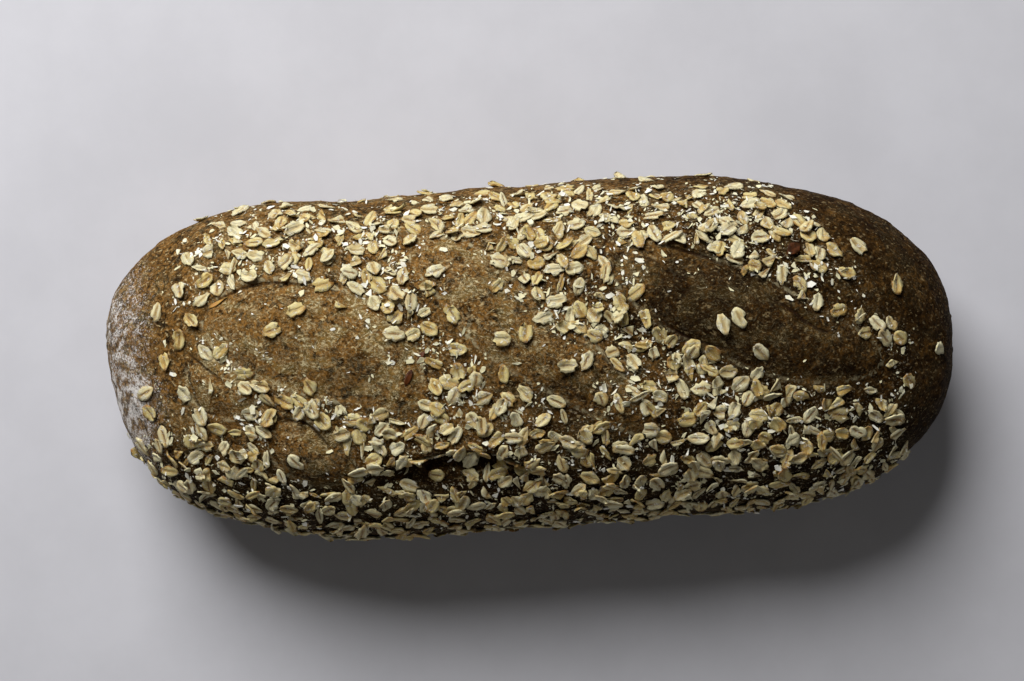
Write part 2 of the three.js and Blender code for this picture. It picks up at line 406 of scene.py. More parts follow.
def crust_material(look):
    """Baked crust: mottled brown, veined on the opened scores, speckled with bran, dusted with flour, with
    painted shade in its creases, fold and pits and on its front side.
    """
    n = Nodes("baked_crust")
    here = n.place()
    bloom, bake, dust = n.attribute("bloom"), n.attribute("bake"), n.attribute("dust")
    crease, tear = n.attribute("crease"), n.attribute("crease_strength")
    rim, hollow_shade, oats = n.attribute("rim"), n.attribute("hollow_shade"), n.attribute("oats")

    patches = n.noise(here, 17, 4, 0.6)
    mottle = n.noise(here, 3.8, 5, 0.62, Distortion=1.4)
    grain = n.noise(here, 0.8, 4, 0.75)
    # The bake mask also holds painted shade on the front side, which mixes the crust there towards the dark
    # colour.
    toasting = n.plus(bake, n.swing(patches, 0.9))
    unevenness = n.swing(mottle, n.span(bake, 0.4, 0.9, 4.2, 1.6))
    toasting = n.plus(toasting, unevenness)
    colour = n.mix(n.span(toasting, 0, 1), look.pale_crust, look.dark_crust_and_shade)

    # A ginger glow where the skin is thin.
    thin_skin = n.noise(n.place((1, 1.2, 1), (0.3, 0, 0.8)), 6.5, 5, 0.7)
    glow = n.times(n.span(thin_skin, 0.48, 0.62, 0.0, 0.5), n.span(bake, 0.4, 0.9, 1.0, 0.25))
    colour = n.mix(glow, colour, look.ginger)

    # The grain of the skin, dark in its pores.
    pores = n.noise(here, 1.1, 3, 0.7)
    grey = n.span(pores, 0.36, 0.64, 0.5, 1.45)
    colour = n.mix(1.0, colour, grey, "MULTIPLY")

    # Pale veins and streaks of stretched dough, thickest on the opened scores.
    veil = n.span(n.noise(n.place((0.8, 1, 1), (0, 0, 0.6)), 11, 4, 0.6, Distortion=0.8), 0.46, 0.6)
    share = n.times(n.span(bloom, 0, 1, 0.35, 1.0), n.span(bake, 0.3, 0.85, 1.0, 0.2))
    colour = n.mix(n.times(n.times(veil, share), 0.5), colour, look.veil)
    swirl = n.noise(n.place((0.55, 1, 1), (0, 0, 0.5)), 3.6, 4, 0.6, Distortion=2.4)
    veins = n.span(n.size_of(n.math("SUBTRACT", swirl, 0.5)), 0.035, 0.0)
    clouds = n.span(n.noise(here, 3.6, 5, 0.64, Distortion=3.0), 0.55, 0.62)
    fibres = n.larger(n.times(veins, 0.75), clouds)
    fibres = n.times(fibres, n.span(pores, 0.42, 0.58, 0.6, 1.0))
    share = n.times(share, n.span(veil, 0, 1, 0.4, 1.15))
    colour = n.mix(n.times(fibres, share), colour, look.stretched_dough)
    torn_edge = n.times(n.span(n.size_of(rim), 1.3, 0.2), n.span(mottle, 0.46, 0.6, 0.0, 0.55))
    colour = n.mix(n.times(torn_edge, n.span(bake, 0.3, 0.9, 1.0, 0.5)), colour, look.stretched_dough)

    # Bran specks: fine pale ones all over, and dark scorched ones.
    pale = n.span(n.noise(n.place((0.6, 1, 1), (0, 0, 1.1)), 1.15, 2, 0.5), 0.61, 0.68)
    colour = n.mix(n.times(pale, n.span(bake, 0.3, 0.9, 0.85, 0.3)), colour, look.pale_speck)
    dark = n.span(n.noise(here, 1.2, 3, 0.6), 0.4, 0.3)
    colour = n.mix(n.times(dark, 0.75), colour, look.dark_speck_and_crack_shade)

    # Oat meal rubbed off the flakes.
    meal = n.times(n.span(n.noise(here, 1.0, 3, 0.6), 0.58, 0.66), n.times(oats, 0.5))
    colour = n.mix(meal, colour, look.meal)

    # Flour, caught on the skin's grain.
    flour = n.span(n.plus(dust, n.swing(grain, 2.0)), 0.45, 0.8)
    flour = n.times(flour, n.span(n.noise(here, 4.5, 6, 0.72), 0.44, 0.58, 0.08, 1.0))
    colour = n.mix(n.times(flour, n.span(dust, 0.02, 0.25)), colour, look.flour)

    # Painted shade: dark lines along the creases, and darkening in the fold and in the pits, where shadow
    # falls.
    crack_shade = n.times(n.span(n.size_of(crease), 0.8, 0.1), n.times(tear, 0.85))
    crack_shade = n.larger(crack_shade, n.span(hollow_shade, 0.35, 0.95, 0.0, 0.8))
    colour = n.mix(crack_shade, colour, look.dark_speck_and_crack_shade)

    roughness = n.span(n.plus(mottle, flour), 0.3, 0.9, 0.58, 0.88)
    skin = n.bump(mottle, 0.9, 0.7)
    skin = n.bump(fibres, 0.35, 0.6, skin)
    skin = n.bump(grain, 0.3, 0.7, skin)
    skin = n.bump(crack_shade, -0.6, 0.9, skin)
    return n.finish(colour, roughness, skin, specular=0.02)


def oat_material(look):
    """Rolled oat, mapped by the flake's own UV map: ivory streaks, a brown crease and toasted edges."""
    n = Nodes("rolled_oat")
    flat = n.node("UVMap", settings={"uv_map": FLAKE_MAP})
    along, across = (n.math("MULTIPLY_ADD", n.node("SeparateXYZ", k, Vector=flat), 2, -1) for k in (0, 1))
    here = n.place()
    tone = n.attribute("tone")
    cloud = n.noise(here, 2.4, 4, 0.6)
    grain = n.noise(here, 0.5, 3, 0.7)
    own = n.times(tone, 43)         # sets each flake's pattern apart from the others'
    drawn_out = n.node("CombineXYZ", X=n.times(along, 0.7), Y=n.times(across, 4.5), Z=own)
    streaks = n.noise(drawn_out, 1.0, 4, 0.6)
    blush = n.noise(n.node("CombineXYZ", X=along, Y=across, Z=own), 1.3, 2, 0.5)

    shade = n.plus(tone, n.swing(cloud, 0.8))
    colour = n.mix(n.span(shade, 0.1, 0.95), look.ivory, look.cream)
    colour = n.mix(n.times(n.span(streaks, 0.48, 0.7), 0.6), colour, look.straw)
    heart = n.times(n.span(n.size_of(across), 0.62, 0.1), n.span(n.math("SINE", own), -0.2, 0.8))
    golden = n.times(n.span(blush, 0.47, 0.6), n.span(tone, 0.0, 0.9, 0.3, 1.0))
    golden = n.larger(golden, n.times(heart, 0.75))
    colour = n.mix(golden, colour, look.golden)
    distance = n.math("SQRT", n.plus(n.math("POWER", along, 2), n.math("POWER", across, 2)))
    rim = n.plus(distance, n.swing(blush, 1.5))
    toasted = n.times(n.span(rim, 0.85, 1.15), n.span(tone, 0.1, 0.9, 0.2, 0.95))
    colour = n.mix(toasted, colour, look.toasted)
    wobble = n.math("MULTIPLY_ADD", n.math("SUBTRACT", streaks, 0.5), 0.35, across)
    wobble = n.math("MULTIPLY_ADD", n.math("SUBTRACT", cloud, 0.5), 0.4, wobble)
    length = n.span(n.size_of(along), 0.95, 0.35)
    seam = n.times(n.span(n.size_of(wobble), 0.26, 0.03), length)
    depth = n.span(n.math("COSINE", n.times(own, 1.7)), -1, 1, 0.25, 1.0)
    colour = n.mix(n.times(seam, depth), colour, look.seam)
    frayed = n.span(n.noise(here, 1.7, 4, 0.7, Distortion=0.8), 0.54, 0.64)
    chalk = n.larger(n.times(n.span(grain, 0.54, 0.68), 0.35), n.times(frayed, 0.65))
    colour = n.mix(chalk, colour, look.chalk)
    creased = n.times(n.span(streaks, 0.44, 0.32), 0.6)
    colour = n.mix(creased, colour, look.seam)

    relief = n.bump(streaks, 0.35, 0.8)
    relief = n.bump(frayed, 0.25, 0.8, relief)
    relief = n.bump(seam, -0.35, 0.7, relief)
    relief = n.bump(grain, 0.1, 0.8, relief)
    return n.finish(colour, n.span(grain, 0.3, 0.7, 0.5, 0.75), relief, specular=0.22)


def crumb_material(look):
    """Chalky broken oat, between flour white and ivory."""
    n = Nodes("broken_oat")
    here = n.place()
    cloud = n.noise(here, 1.6, 4, 0.6)
    grain = n.noise(here, 0.4, 3, 0.7)
    shade = n.plus(n.attribute("tone"), n.math("SUBTRACT", cloud, 0.5))
    colour = n.mix(n.span(shade, 0.05, 0.8), look.chalk, look.ivory)
    colour = n.mix(n.times(n.span(cloud, 0.6, 0.72), 0.45), colour, look.toasted)
    return n.finish(colour, n.span(grain, 0.3, 0.7, 0.7, 0.92), n.bump(grain, 0.08, 0.7), specular=0.25)


def husk_material(name, colour, edge):
    """Bran skin: thin, a little glossy, ribbed lengthwise."""
    n = Nodes(name)
    here = n.place()
    ribs = n.noise(n.place((0.3, 1, 1), (0, 0, 0.7)), 0.8, 4, 0.6)
    cloud = n.noise(here, 2.4, 3, 0.6)
    shade = n.mix(n.span(cloud, 0.4, 0.7), colour, edge)
    shade = n.mix(n.times(n.span(ribs, 0.5, 0.7), 0.4), shade, edge)
    return n.finish(shade, n.span(cloud, 0.3, 0.7, 0.35, 0.6), n.bump(ribs, 0.12, 0.7), specular=0.15)


def floor_material(stage):
    """Plain pale matt stone with a faint cloud in it."""
    n = Nodes("pale_floor")
    cloud = n.noise(n.place(), 60, 5, 0.6)
    shade = [part * FLOOR_SHADE for part in stage.floor]
    colour = n.mix(n.span(cloud, 0.3, 0.7), stage.floor, shade)
    return n.finish(colour, n.span(cloud, 0.3, 0.7, 0.75, 0.85))


# ---------------------------------------------------------------- the crust

BLISTER_COUNT, PIT_COUNT = 320, 130
# Deep pits where gas broke through: along, across and radius.
DEEP_PITS = [(-25, 37, 1.3), (49, 41, 1.1), (54, 36, 0.9), (-86, 24, 0.8), (12, -9, 0.8), (-63, -36, 1.0)]
DEEP_PIT_DEPTH = 1.3
TORN_EDGE_HEIGHT, TORN_EDGE_WIDTH = 0.45, 1.5
FIBRE_HEIGHT = 0.3
CRUST_SEED = 11

# Unevenness of the skin: height in millimetres, period, octaves and shift of the noise.
BROAD_SWELLS = [(0.9, 46, 2, 3.1), (0.5, 19, 3, 7.7)]
# The same for its grain, with the height as a share of the skin relief.
SKIN_GRAIN = [(1, 5.5, 3, 1.3), (0.5, 2.2, 2, 4.9)]

# The front side's darkening is painted shade: the crust there is coloured darker because it lies away from
# the light.
PLAIN_BAKE, RIGHT_END_BAKE, FRONT_PAINTED_SHADE = 0.37, 0.5, 0.55
# Patches baked darker than what is round them: middle, reach both ways and how much darker.
BAKED_PATCHES = [(-68, -6, 24, 13, 0.24), (12, -14, 16, 11, 0.24), (64, 17, 26, 15, 0.34)]


def fractal(points, period, octaves=3, shift=0.0):
    """Smooth noise from about -1 to 1 at each point, with features about one period wide."""
    offset = Vector((shift, -shift, shift * 0.5))
    return np.array([noise.fractal(Vector(p) / period + offset, 0.9, 2.0, octaves) for p in points])


def ridges(points, period, shift=0.0):
    """Thin raised lines, 1 on a line and 0 away from it."""
    return np.clip(1 - np.abs(fractal(points, period, 2, shift)) * 5, 0, 1)


def spots(points, centres, radii, heights):
    """Sums round bumps with soft edges."""
    total = np.zeros(len(points))
    for centre, radius, height in zip(centres, radii, heights):
        near = np.flatnonzero(np.abs(points[:, 0] - centre[0]) < radius * 1.5)
        gap = np.linalg.norm(points[near] - centre, axis=1) / radius
        total[near] += height * np.clip(1 - gap ** 2, 0, 1) ** 1.3
    return total


def crease_fields(places):
    """The signed distance to the nearest crease, its strength there, and the relief of all the creases."""
    nearest = np.full(len(places), 9.0)
    strength = np.zeros(len(places))
    relief = np.zeros(len(places))
    for line, depth, lip in CREASES:
        distance, along = nearest_on(curve_through(line), places)
        force = run_out(along) * smooth_step(9, 3, np.abs(distance))
        relief -= depth * force * np.exp(-(distance / CREASE_WIDTH) ** 2)
        relief += lip * force * np.exp(-((distance - 2 * CREASE_WIDTH) / (1.5 * CREASE_WIDTH)) ** 2)
        closer = np.abs(distance) < np.abs(nearest)
        nearest[closer] = distance[closer]
        strength[closer] = force[closer] * min(depth, 1)
    return nearest, strength, relief


def deep_pits(places):
    """How deep inside one of the deep pits each place is, from 0 to 1."""
    depth = np.zeros(len(places))
    for along, across, radius in DEEP_PITS:
        distance = np.hypot(places[:, 0] - along, places[:, 1] - across)
        depth = np.maximum(depth, np.exp(-(distance / radius) ** 2))
    return depth


def mound(places, x, y, reach_along, reach_across):
    """1 in the middle of a soft oval patch, and less away from it."""
    return np.exp(-((places[:, 0] - x) / reach_along) ** 2 - ((places[:, 1] - y) / reach_across) ** 2)


def fine_relief(points, fields, settings):
    """How far the fine shape of the crust stands off the smooth skin, along its normals."""
    rng = np.random.default_rng(CRUST_SEED)
    relief = np.zeros(len(points))
    for height, *grain in BROAD_SWELLS:
        relief += height * fractal(points, *grain)
    for share, *grain in SKIN_GRAIN:
        relief += share * settings.skin_relief * fractal(points, *grain)
    relief += FIBRE_HEIGHT * fields["bloom"] * ridges(points * (0.5, 1, 1), 6, 2.2)
    torn = np.exp(-((fields["rim"] + 0.4) / TORN_EDGE_WIDTH) ** 2)
    torn *= 0.5 + 0.5 * fractal(points, 14, 2, 6.4)
    relief += TORN_EDGE_HEIGHT * torn * fields["top_side"]
    relief -= DEEP_PIT_DEPTH * fields["pits"]
    top = np.flatnonzero(fields["top_side"] > 0.5)
    blisters = points[rng.choice(top, BLISTER_COUNT, replace=False)]
    radii, heights = rng.uniform(1.2, 3.4, BLISTER_COUNT), rng.uniform(0.12, 0.5, BLISTER_COUNT)
    relief += spots(points, blisters, radii, heights)
    pits = points[rng.choice(top, PIT_COUNT, replace=False)]
    radii, depths = rng.uniform(1.0, 1.9, PIT_COUNT), rng.uniform(0.3, 0.9, PIT_COUNT)
    return relief + spots(points, pits, radii, -depths)


def crust_masks(points, fields):
    """Where the crust is baked darker, where painted shade darkens its front side, where flour lies, and the
    rest of what its material reads.
    """
    x, y, z = points.T
    # The last term is painted shade on the front side.
    bake = PLAIN_BAKE + RIGHT_END_BAKE * smooth_step(-60, 120, x) + FRONT_PAINTED_SHADE * smooth_step(-20, -54, y)
    for *patch, darker in BAKED_PATCHES:
        bake += darker * mound(points, *patch)
    bake += (0.1 - 0.2 * fields["bloom"]) * smooth_step(60, -20, x)
    bake -= 0.3 * smooth_step(30, 6, z)
    left_end = smooth_step(-136, -158, x) * np.exp(-((y - 14) / 36) ** 2) * smooth_step(10, 35, z)
    left_low = smooth_step(-128, -156, x) * smooth_step(6, -12, y) * smooth_step(5, 25, z)
    dust = 0.52 * left_end + 0.4 * left_low + 0.14 * smooth_step(-100, -140, x)
    dust += 0.8 * smooth_step(16, 2, z)
    # The fold and the deep pits are marked for the painted shade in them.
    return {"bake": bake, "dust": np.clip(dust, 0, 1), "bloom": fields["bloom"], "rim": fields["rim"],
            "hollow_shade": np.maximum(fields["hollow_shade"], fields["pits"]), "oats": oat_cover(points, 0.9)}


def crust_mesh(settings):
    """The loaf's skin: a ball with its poles at the tips, drawn out and given its fine relief."""
    bm = bmesh.new()
    bmesh.ops.create_uvsphere(bm, u_segments=SEGMENTS_AROUND, v_segments=SEGMENTS_ALONG, radius=1)
    mesh = mesh_from("crust", bm)
    points, fields = skin_points(coordinates(mesh))
    middle = (points[:, 1].min() + points[:, 1].max()) / 2
    places = points[:, :2].copy()
    set_coordinates(mesh, points)
    normals = rows(mesh.vertex_normals, "vector")
    fields["pits"] = deep_pits(places) * fields["top_side"]
    distance, strength, creases = crease_fields(places)
    stand_off = fine_relief(points, fields, settings) + creases * fields["top_side"]
    stand_off *= smooth_step(0, 4, points[:, 2])
    masks = crust_masks(points, fields)
    masks.update(crease=distance, crease_strength=strength * fields["top_side"])
    points += normals * stand_off[:, None]
    points[:, 1] -= middle
    points[:, 2] = np.maximum(points[:, 2], 0)
    set_coordinates(mesh, points)
    for name, values in masks.items():
        set_attribute(mesh, name, values)
    return mesh


# ---------------------------------------------------------------- flakes

FLAKE_SEED = 23
FLAKE_VARIANTS = 28
BROKEN_VARIANTS = 18
CRUMB_VARIANTS = 24
FEELER = 0.36               # where a flake feels for its bed: this share of its size from its middle
STEEPEST_TILT = 0.8


def flake_mesh(index, rng):
    """One rolled flake, 2 by 2 across and lying flat: a grooved, bent oval with a ragged rim."""
    bm = bmesh.new()
    bmesh.ops.create_grid(bm, x_segments=6, y_segments=4, size=1)
    ragged, seed = rng.uniform(0.12, 0.42), rng.uniform(0, 50)
    cup, curl = rng.uniform(-0.2, 0.14), rng.uniform(-0.2, 0.42)
    twist, wave = rng.uniform(-0.3, 0.3), rng.uniform(0.05, 0.16)
    groove, blunt = rng.uniform(0.07, 0.2), rng.uniform(0.0, 0.2)
    groove_place = rng.uniform(-0.12, 0.12)
    notch_count = rng.choice((0, 1, 2, 2, 3, 4))
    notches = [(rng.uniform(-math.pi, math.pi), rng.uniform(0.12, 0.4)) for _ in range(notch_count)]
    for vert in bm.verts:
        x, y = vert.co.x, vert.co.y
        x, y = x * math.sqrt(1 - y * y / 2), y * math.sqrt(1 - x * x / 2)
        radius, angle = math.hypot(x, y), math.atan2(y, x)
        edge = radius ** 3
        rough = 1 + ragged * edge * noise.noise(Vector((3 * math.cos(angle), 3 * math.sin(angle), seed)))
        for where, depth in notches:
            gap = abs((angle - where + math.pi) % (2 * math.pi) - math.pi)
            rough -= depth * edge * max(0, 1 - gap / 0.4)
        z = -cup * radius ** 2 + curl * x * abs(x) + twist * x * y
        z -= groove * math.exp(-((y - groove_place) / 0.25) ** 2) * (1 - 0.6 * x * x)
        z += wave * noise.noise(Vector((2.2 * x, 2.2 * y, seed + 9)))
        vert.co = (x * rough * (1 - blunt * y * y), y * rough * (1 - blunt * max(x, 0)), z)
    bmesh.ops.solidify(bm, geom=bm.faces[:], thickness=rng.uniform(0.14, 0.22))
    bmesh.ops.recalc_face_normals(bm, faces=bm.faces[:])
    rest_on_zero(bm)
    write_flake_uv(bm)
    return mesh_from(f"flake_shape_{index}", bm)


def rest_on_zero(bm):
    """Lifts the shape until the underside of its middle is at height 0."""
    middle = [vert.co.z for vert in bm.verts if math.hypot(vert.co.x, vert.co.y) < 0.55]
    bmesh.ops.translate(bm, vec=(0, 0, -min(middle)), verts=bm.verts[:])


def write_flake_uv(bm):
    """The flake's own map: its plan, with 0.5, 0.5 in the middle."""
    layer = bm.loops.layers.uv.new(FLAKE_MAP)
    for face in bm.faces:
        for loop in face.loops:
            loop[layer].uv = (0.5 + loop.vert.co.x / 2, 0.5 + loop.vert.co.y / 2)


def broken_mesh(name, rng, whole, cuts, nearest_cut, farthest_cut):
    """A broken piece of a flake: cut by a few planes round a place on it, and closed again."""
    bm = bmesh.new()
    bm.from_mesh(whole)
    middle = Vector((rng.uniform(-0.4, 0.4), rng.uniform(-0.3, 0.3), 0))
    start = rng.uniform(0, 2 * math.pi)
    for k in range(cuts):
        angle = start + 2 * math.pi * k / cuts + rng.uniform(-0.35, 0.35)
        out = Vector((math.cos(angle), math.sin(angle), rng.uniform(-0.3, 0.3))).normalized()
        place = middle + out * rng.uniform(nearest_cut, farthest_cut)
        bmesh.ops.bisect_plane(bm, geom=bm.verts[:] + bm.edges[:] + bm.faces[:], dist=1e-4,
                               plane_co=place, plane_no=out, clear_outer=True)
        bmesh.ops.holes_fill(bm, edges=[edge for edge in bm.edges if edge.is_boundary], sides=0)
    bmesh.ops.recalc_face_normals(bm, faces=bm.faces[:])
    bm.verts.sort(key=lambda vert: spot_in_order(vert.co))
    return mesh_from(name, bm)


def crumb_mesh(index, rng, whole):
    """A chip of a flake, brought to 2 by 2 across and lying flat."""
    mesh = broken_mesh(f"crumb_shape_{index}", rng, whole, rng.choice((4, 5, 5, 6)), 0.16, 0.42)
    points = coordinates(mesh)
    points -= (points.min(0) + points.max(0)) / 2
    points[:, :2] /= np.abs(points[:, :2]).max()
    points[:, 2] += 0.25 * rng.uniform(-1, 1) * points[:, 0] ** 2 + 0.3 * rng.uniform(-1, 1) * points[:, 1]
    points[:, 2] -= points[:, 2].min()
    set_coordinates(mesh, points)
    return mesh


class Bed:
    """What flakes are laid on: the crust, and the flakes laid so far."""

    def __init__(self, crust):
        self.crust = self.tree_of([crust])
        self.top = self.crust
        self.laid = []

    @staticmethod
    def tree_of(meshes):
        """A search tree of the meshes. Each face starts at its lowest vertex, so all runs split it alike."""
        corners, faces = [], []
        for mesh in meshes:
            start = len(corners)
            corners += [vert.co.copy() for vert in mesh.vertices]
            for face in mesh.polygons:
                round_it = [start + k for k in face.vertices]
                first = round_it.index(min(round_it))
                faces.append(round_it[first:] + round_it[:first])
        return BVHTree.FromPolygons(corners, faces)

    def settle(self, meshes):
        """Takes the meshes as laid, so that the next ones can lie on them."""
        self.laid += meshes
        self.top = self.tree_of(self.laid)

    def height(self, point, normal, reach=6.0):
        """How far the surface at a point stands above it, along the normal, flakes included."""
        start = point + normal * reach
        found = self.crust.ray_cast(start, -normal, 2 * reach)[3]
        above = None if self.top is self.crust else self.top.ray_cast(start, -normal, 2 * reach)[3]
        hits = [hit for hit in (found, above) if hit is not None]
        return reach - min(hits) if hits else 0.0

    def feel(self, point, normal, direction, size):
        """How high a flake of this size lies on what is under its two ends, and the tilt that gives it."""
        ahead, behind = (self.height(point + direction * s * size * FEELER, normal) for s in (1, -1))
        tilt = (ahead - behind) / (size * 2 * FEELER)
        return (ahead + behind) / 2, max(-STEEPEST_TILT, min(STEEPEST_TILT, tilt))

    def lay(self, point, normal, turn, length, width, sink, lean=0.0):
        """The matrix that lays a 2 by 2 flake at a point, tilted by its bed and leaning as asked."""
        side = normal.cross(Vector((1, 0, 0))).normalized()
        front = side.cross(normal)
        along = (front * math.cos(turn) + side * math.sin(turn)).normalized()
        across = normal.cross(along)
        lift_along, tilt_along = self.feel(point, normal, along, length)
        lift_across, tilt_across = self.feel(point, normal, across, width)
        lift = max(self.height(point, normal), lift_along, lift_across)
        along = (along + normal * tilt_along).normalized()
        up = along.cross(across + normal * tilt_across).normalized()
        across = up.cross(along)
        centre = point + normal * (lift - sink + 0.3 * width * math.sin(abs(lean)))
        turned = Matrix((along, across, up)).transposed().to_4x4() @ Matrix.Rotation(lean, 4, "X")
        sized = Matrix.Diagonal((length / 2, width / 2, (length + width) / 4, 1))
        return Matrix.Translation(centre) @ turned @ sized


def placed(shape, matrix, tone):
    mesh = shape.copy()
    mesh.transform(matrix)
    set_attribute(mesh, "tone", [tone] * len(mesh.vertices))
    return mesh


def joined(name, meshes):
    """One mesh of them all."""
    objects = [bpy.data.objects.new(name, mesh) for mesh in meshes]
    for thing in objects:
        bpy.context.scene.collection.objects.link(thing)
    with bpy.context.temp_override(active_object=objects[0], selected_editable_objects=objects):
        bpy.ops.object.join()
    mesh = objects[0].data
    bpy.data.objects.remove(objects[0])
    return mesh


# Where the oats lie thickly between the scores: line, half width and cover.
OAT_BANDS = [
    ([(-66, 46), (-54, 22), (-38, -2), (-16, -30)], 17, 1.0),
    ([(-14, 48), (11, 20), (44, 2), (75, -16), (122, -34)], 17, 1.0),
    ([(-119, 9), (-112, 1), (-107, -8)], 8, 0.9),
    ([(-128, -10), (-108, -12), (-88, -16), (-66, -23), (-40, -28)], 10, 1.0),
    ([(96, 26), (102, 15), (112, 9), (134, 5)], 7, 0.85),
    ([(142, 0), (146, -14), (144, -30)], 9, 0.8),
    ([(2, -14), (18, -20), (44, -22)], 8, 0.7),
    ([(26, -14), (34, -16), (46, -20)], 7, 2.4),
]
FAR_BAND_EDGE = (20, 28)        # across the loaf, where the thick oats of the far side begin
NEAR_BAND_EDGE = (-16, -27)
SPARSE_COVER = 0.2
# Where the cover runs out towards the tips, along the loaf.
LEFT_END, RIGHT_END = (-158, -118), (150, 138)
# How it comes in up the sides: share of the cover, and the heights between which that share comes in.
FAR_SIDE_COVER = [(0.1, 14, 30), (0.9, 48, 70)]
NEAR_SIDE_COVER = [(0.54, 9, 26), (0.46, 42, 66)]
BARE_SIDE_PLACE, BARE_SIDE_REACH = 52, 18       # a stretch of the near side that stayed nearly bare


def clumps(points, period, shift):
    """Noise from 0 to 1 that gathers the oats in clumps."""
    return np.clip(0.5 + 0.9 * fractal(points, period, 2, shift), 0, 1)


def oat_cover(points, swept):
    """How thickly the oats lie, from 0 to 1. Swept is how much of them the opened scores have lost."""
    x, y, z = points.T
    places = points[:, :2]
    bare = swept * score_fields(places)[1]
    cover = np.maximum(SPARSE_COVER, smooth_step(*FAR_BAND_EDGE, y))
    cover = np.maximum(cover, smooth_step(*NEAR_BAND_EDGE, y)) * (1 - bare)
    for line, half_width, most in OAT_BANDS:
        distance = np.abs(nearest_on(curve_through(line), places)[0])
        band = most * smooth_step(half_width, 0.55 * half_width, distance)
        cover = np.maximum(cover, band * (1 - 0.8 * bare))
    cover *= smooth_step(*LEFT_END, x - 0.25 * np.maximum(y, 0) + 1.2 * np.maximum(-18 - y, 0))
    cover *= smooth_step(*RIGHT_END, x + 0.75 * np.maximum(y - 4, 0))
    far_side, near_side = (sum(share * smooth_step(low, high, z) for share, low, high in side)
                           for side in (FAR_SIDE_COVER, NEAR_SIDE_COVER))
    near_side *= 1 - 0.9 * np.exp(-((x - BARE_SIDE_PLACE) / BARE_SIDE_REACH) ** 2) * smooth_step(50, 42, z)
    cover *= np.where(y > 0, far_side, near_side)
    cover *= 1 - 0.85 * smooth_step(0.2, 0.8, fold_profile(places)[1]) * smooth_step(-18, -30, x)
    torn, strength, _ = crease_fields(places)
    cover *= 1 - 0.9 * strength * smooth_step(3.5, 1.5, np.abs(torn))
    return np.clip(cover, 0, 1)


def surface_samples(mesh, count, rng):
    """Places spread evenly over a mesh, with the normals there."""
    areas = rows(mesh.polygons, "area", 1)[:, 0]
    picked = rng.choice(len(areas), count, p=areas / areas.sum())
    return rows(mesh.polygons, "center")[picked], rows(mesh.polygons, "normal")[picked]


def thin_out(points, spacing, taken):
    """The indices of points that keep their spacing from those kept before and from the places taken."""
    kept, count = [], len(taken)
    store = np.zeros((len(points) + count, 3))
    store[:count] = taken
    for k, point in enumerate(points):
        gaps = np.linalg.norm(store[:count] - point, axis=1)
        if gaps.min() > spacing[k]:
            store[count] = point
            count += 1
            kept.append(k)
    return kept


# ---------------------------------------------------------------- settings


def colour_property(name, description, default):
    return FloatVectorProperty(name=name, description=description, default=default, subtype="COLOR",
                               min=0, max=1)


class LoafCrustSettings(bpy.types.PropertyGroup):
    skin_relief: FloatProperty(name="Skin relief", description="Height of the grain, in mm", default=0.22)
    pale_crust: colour_property("Pale crust", "Where the crust baked least", (0.195, 0.095, 0.022))
    # The dark crust colour is also the colour of the painted shade on the front side.
    dark_crust_and_shade: colour_property("Dark crust", "Where the crust baked most", (0.0150, 0.0065, 0.0012))
    ginger: colour_property("Ginger", "Thin skin that browned evenly", (0.150, 0.069, 0.013))
    stretched_dough: colour_property("Stretched dough", "Fibres on the opened scores", (0.64, 0.545, 0.32))
    veil: colour_property("Veil", "Greyish bloom over the opened scores", (0.218, 0.15, 0.048))
    meal: colour_property("Meal", "Oat meal on the crust", (0.55, 0.48, 0.34))
    pale_speck: colour_property("Pale specks", "Bran and flour grains", (0.50, 0.38, 0.19))
    # Dark specks are also the colour of the painted shade in the creases, the fold and the pits.
    dark_speck_and_crack_shade: colour_property("Dark specks", "Scorched bran and cracks", (0.022, 0.010, 0.005))
    flour: colour_property("Flour", "Flour on the ends and the underside", (0.74, 0.70, 0.66))


class LoafOatSettings(bpy.types.PropertyGroup):
    length: FloatProperty(name="Flake length", description="Length of a whole flake, in mm", default=7.7)
    width: FloatProperty(name="Flake width", description="Width of a whole flake, in mm", default=5.2)
    layers: IntProperty(name="Layers", description="Rounds of scattered oats", default=2, min=1, max=6)
    crumbs: IntProperty(name="Crumbs", description="Samples tried for crumbs of broken oats", default=36000)
    ivory: colour_property("Ivory", "The palest flakes", (0.69, 0.64, 0.40))
    cream: colour_property("Cream", "The deeper flakes", (0.61, 0.50, 0.20))
    straw: colour_property("Straw", "Streaks along a flake", (0.50, 0.375, 0.16))
    golden: colour_property("Golden", "Patches that caught the heat", (0.45, 0.29, 0.075))
    toasted: colour_property("Toasted", "Edges browned in the oven", (0.28, 0.135, 0.030))
    seam: colour_property("Seam", "The crease along a flake", (0.21, 0.108, 0.024))
    chalk: colour_property("Chalk", "Broken faces and crumbs", (0.80, 0.78, 0.69))
    dark_husk: colour_property("Dark husk", "The scorched husk piece", (0.034, 0.012, 0.004))
    red_husk: colour_property("Red husk", "The red-brown husk pieces", (0.105, 0.030, 0.007))
    bran: colour_property("Bran", "The sliver of bran", (0.42, 0.21, 0.05))


class LoafStageSettings(bpy.types.PropertyGroup):
    floor: colour_property("Floor", "The plain pale floor", (0.595, 0.59, 0.625))
    height: FloatProperty(name="Camera height", description="Above the floor", default=0.8, unit="LENGTH")
    key_power: FloatProperty(name="Key", description="The large soft light", default=33.3, unit="POWER")
    front_power: FloatProperty(name="Front", description="The weak front light", default=5.2, unit="POWER")
    fill: FloatProperty(name="Fill", description="Strength of the light from all round", default=0.045)


# ---------------------------------------------------------------- operators

CRUST_PIECE = "crust"
CLEAR_FLAKES = sorted(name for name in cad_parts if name.startswith("oat_flake_"))
HUSKS = ("dark_husk", "red_husk", "red_husk_small", "bran_sliver")
CLEAR_SINK = 0.1            # how deep the clear flakes and the husks are pressed in
_made = {}


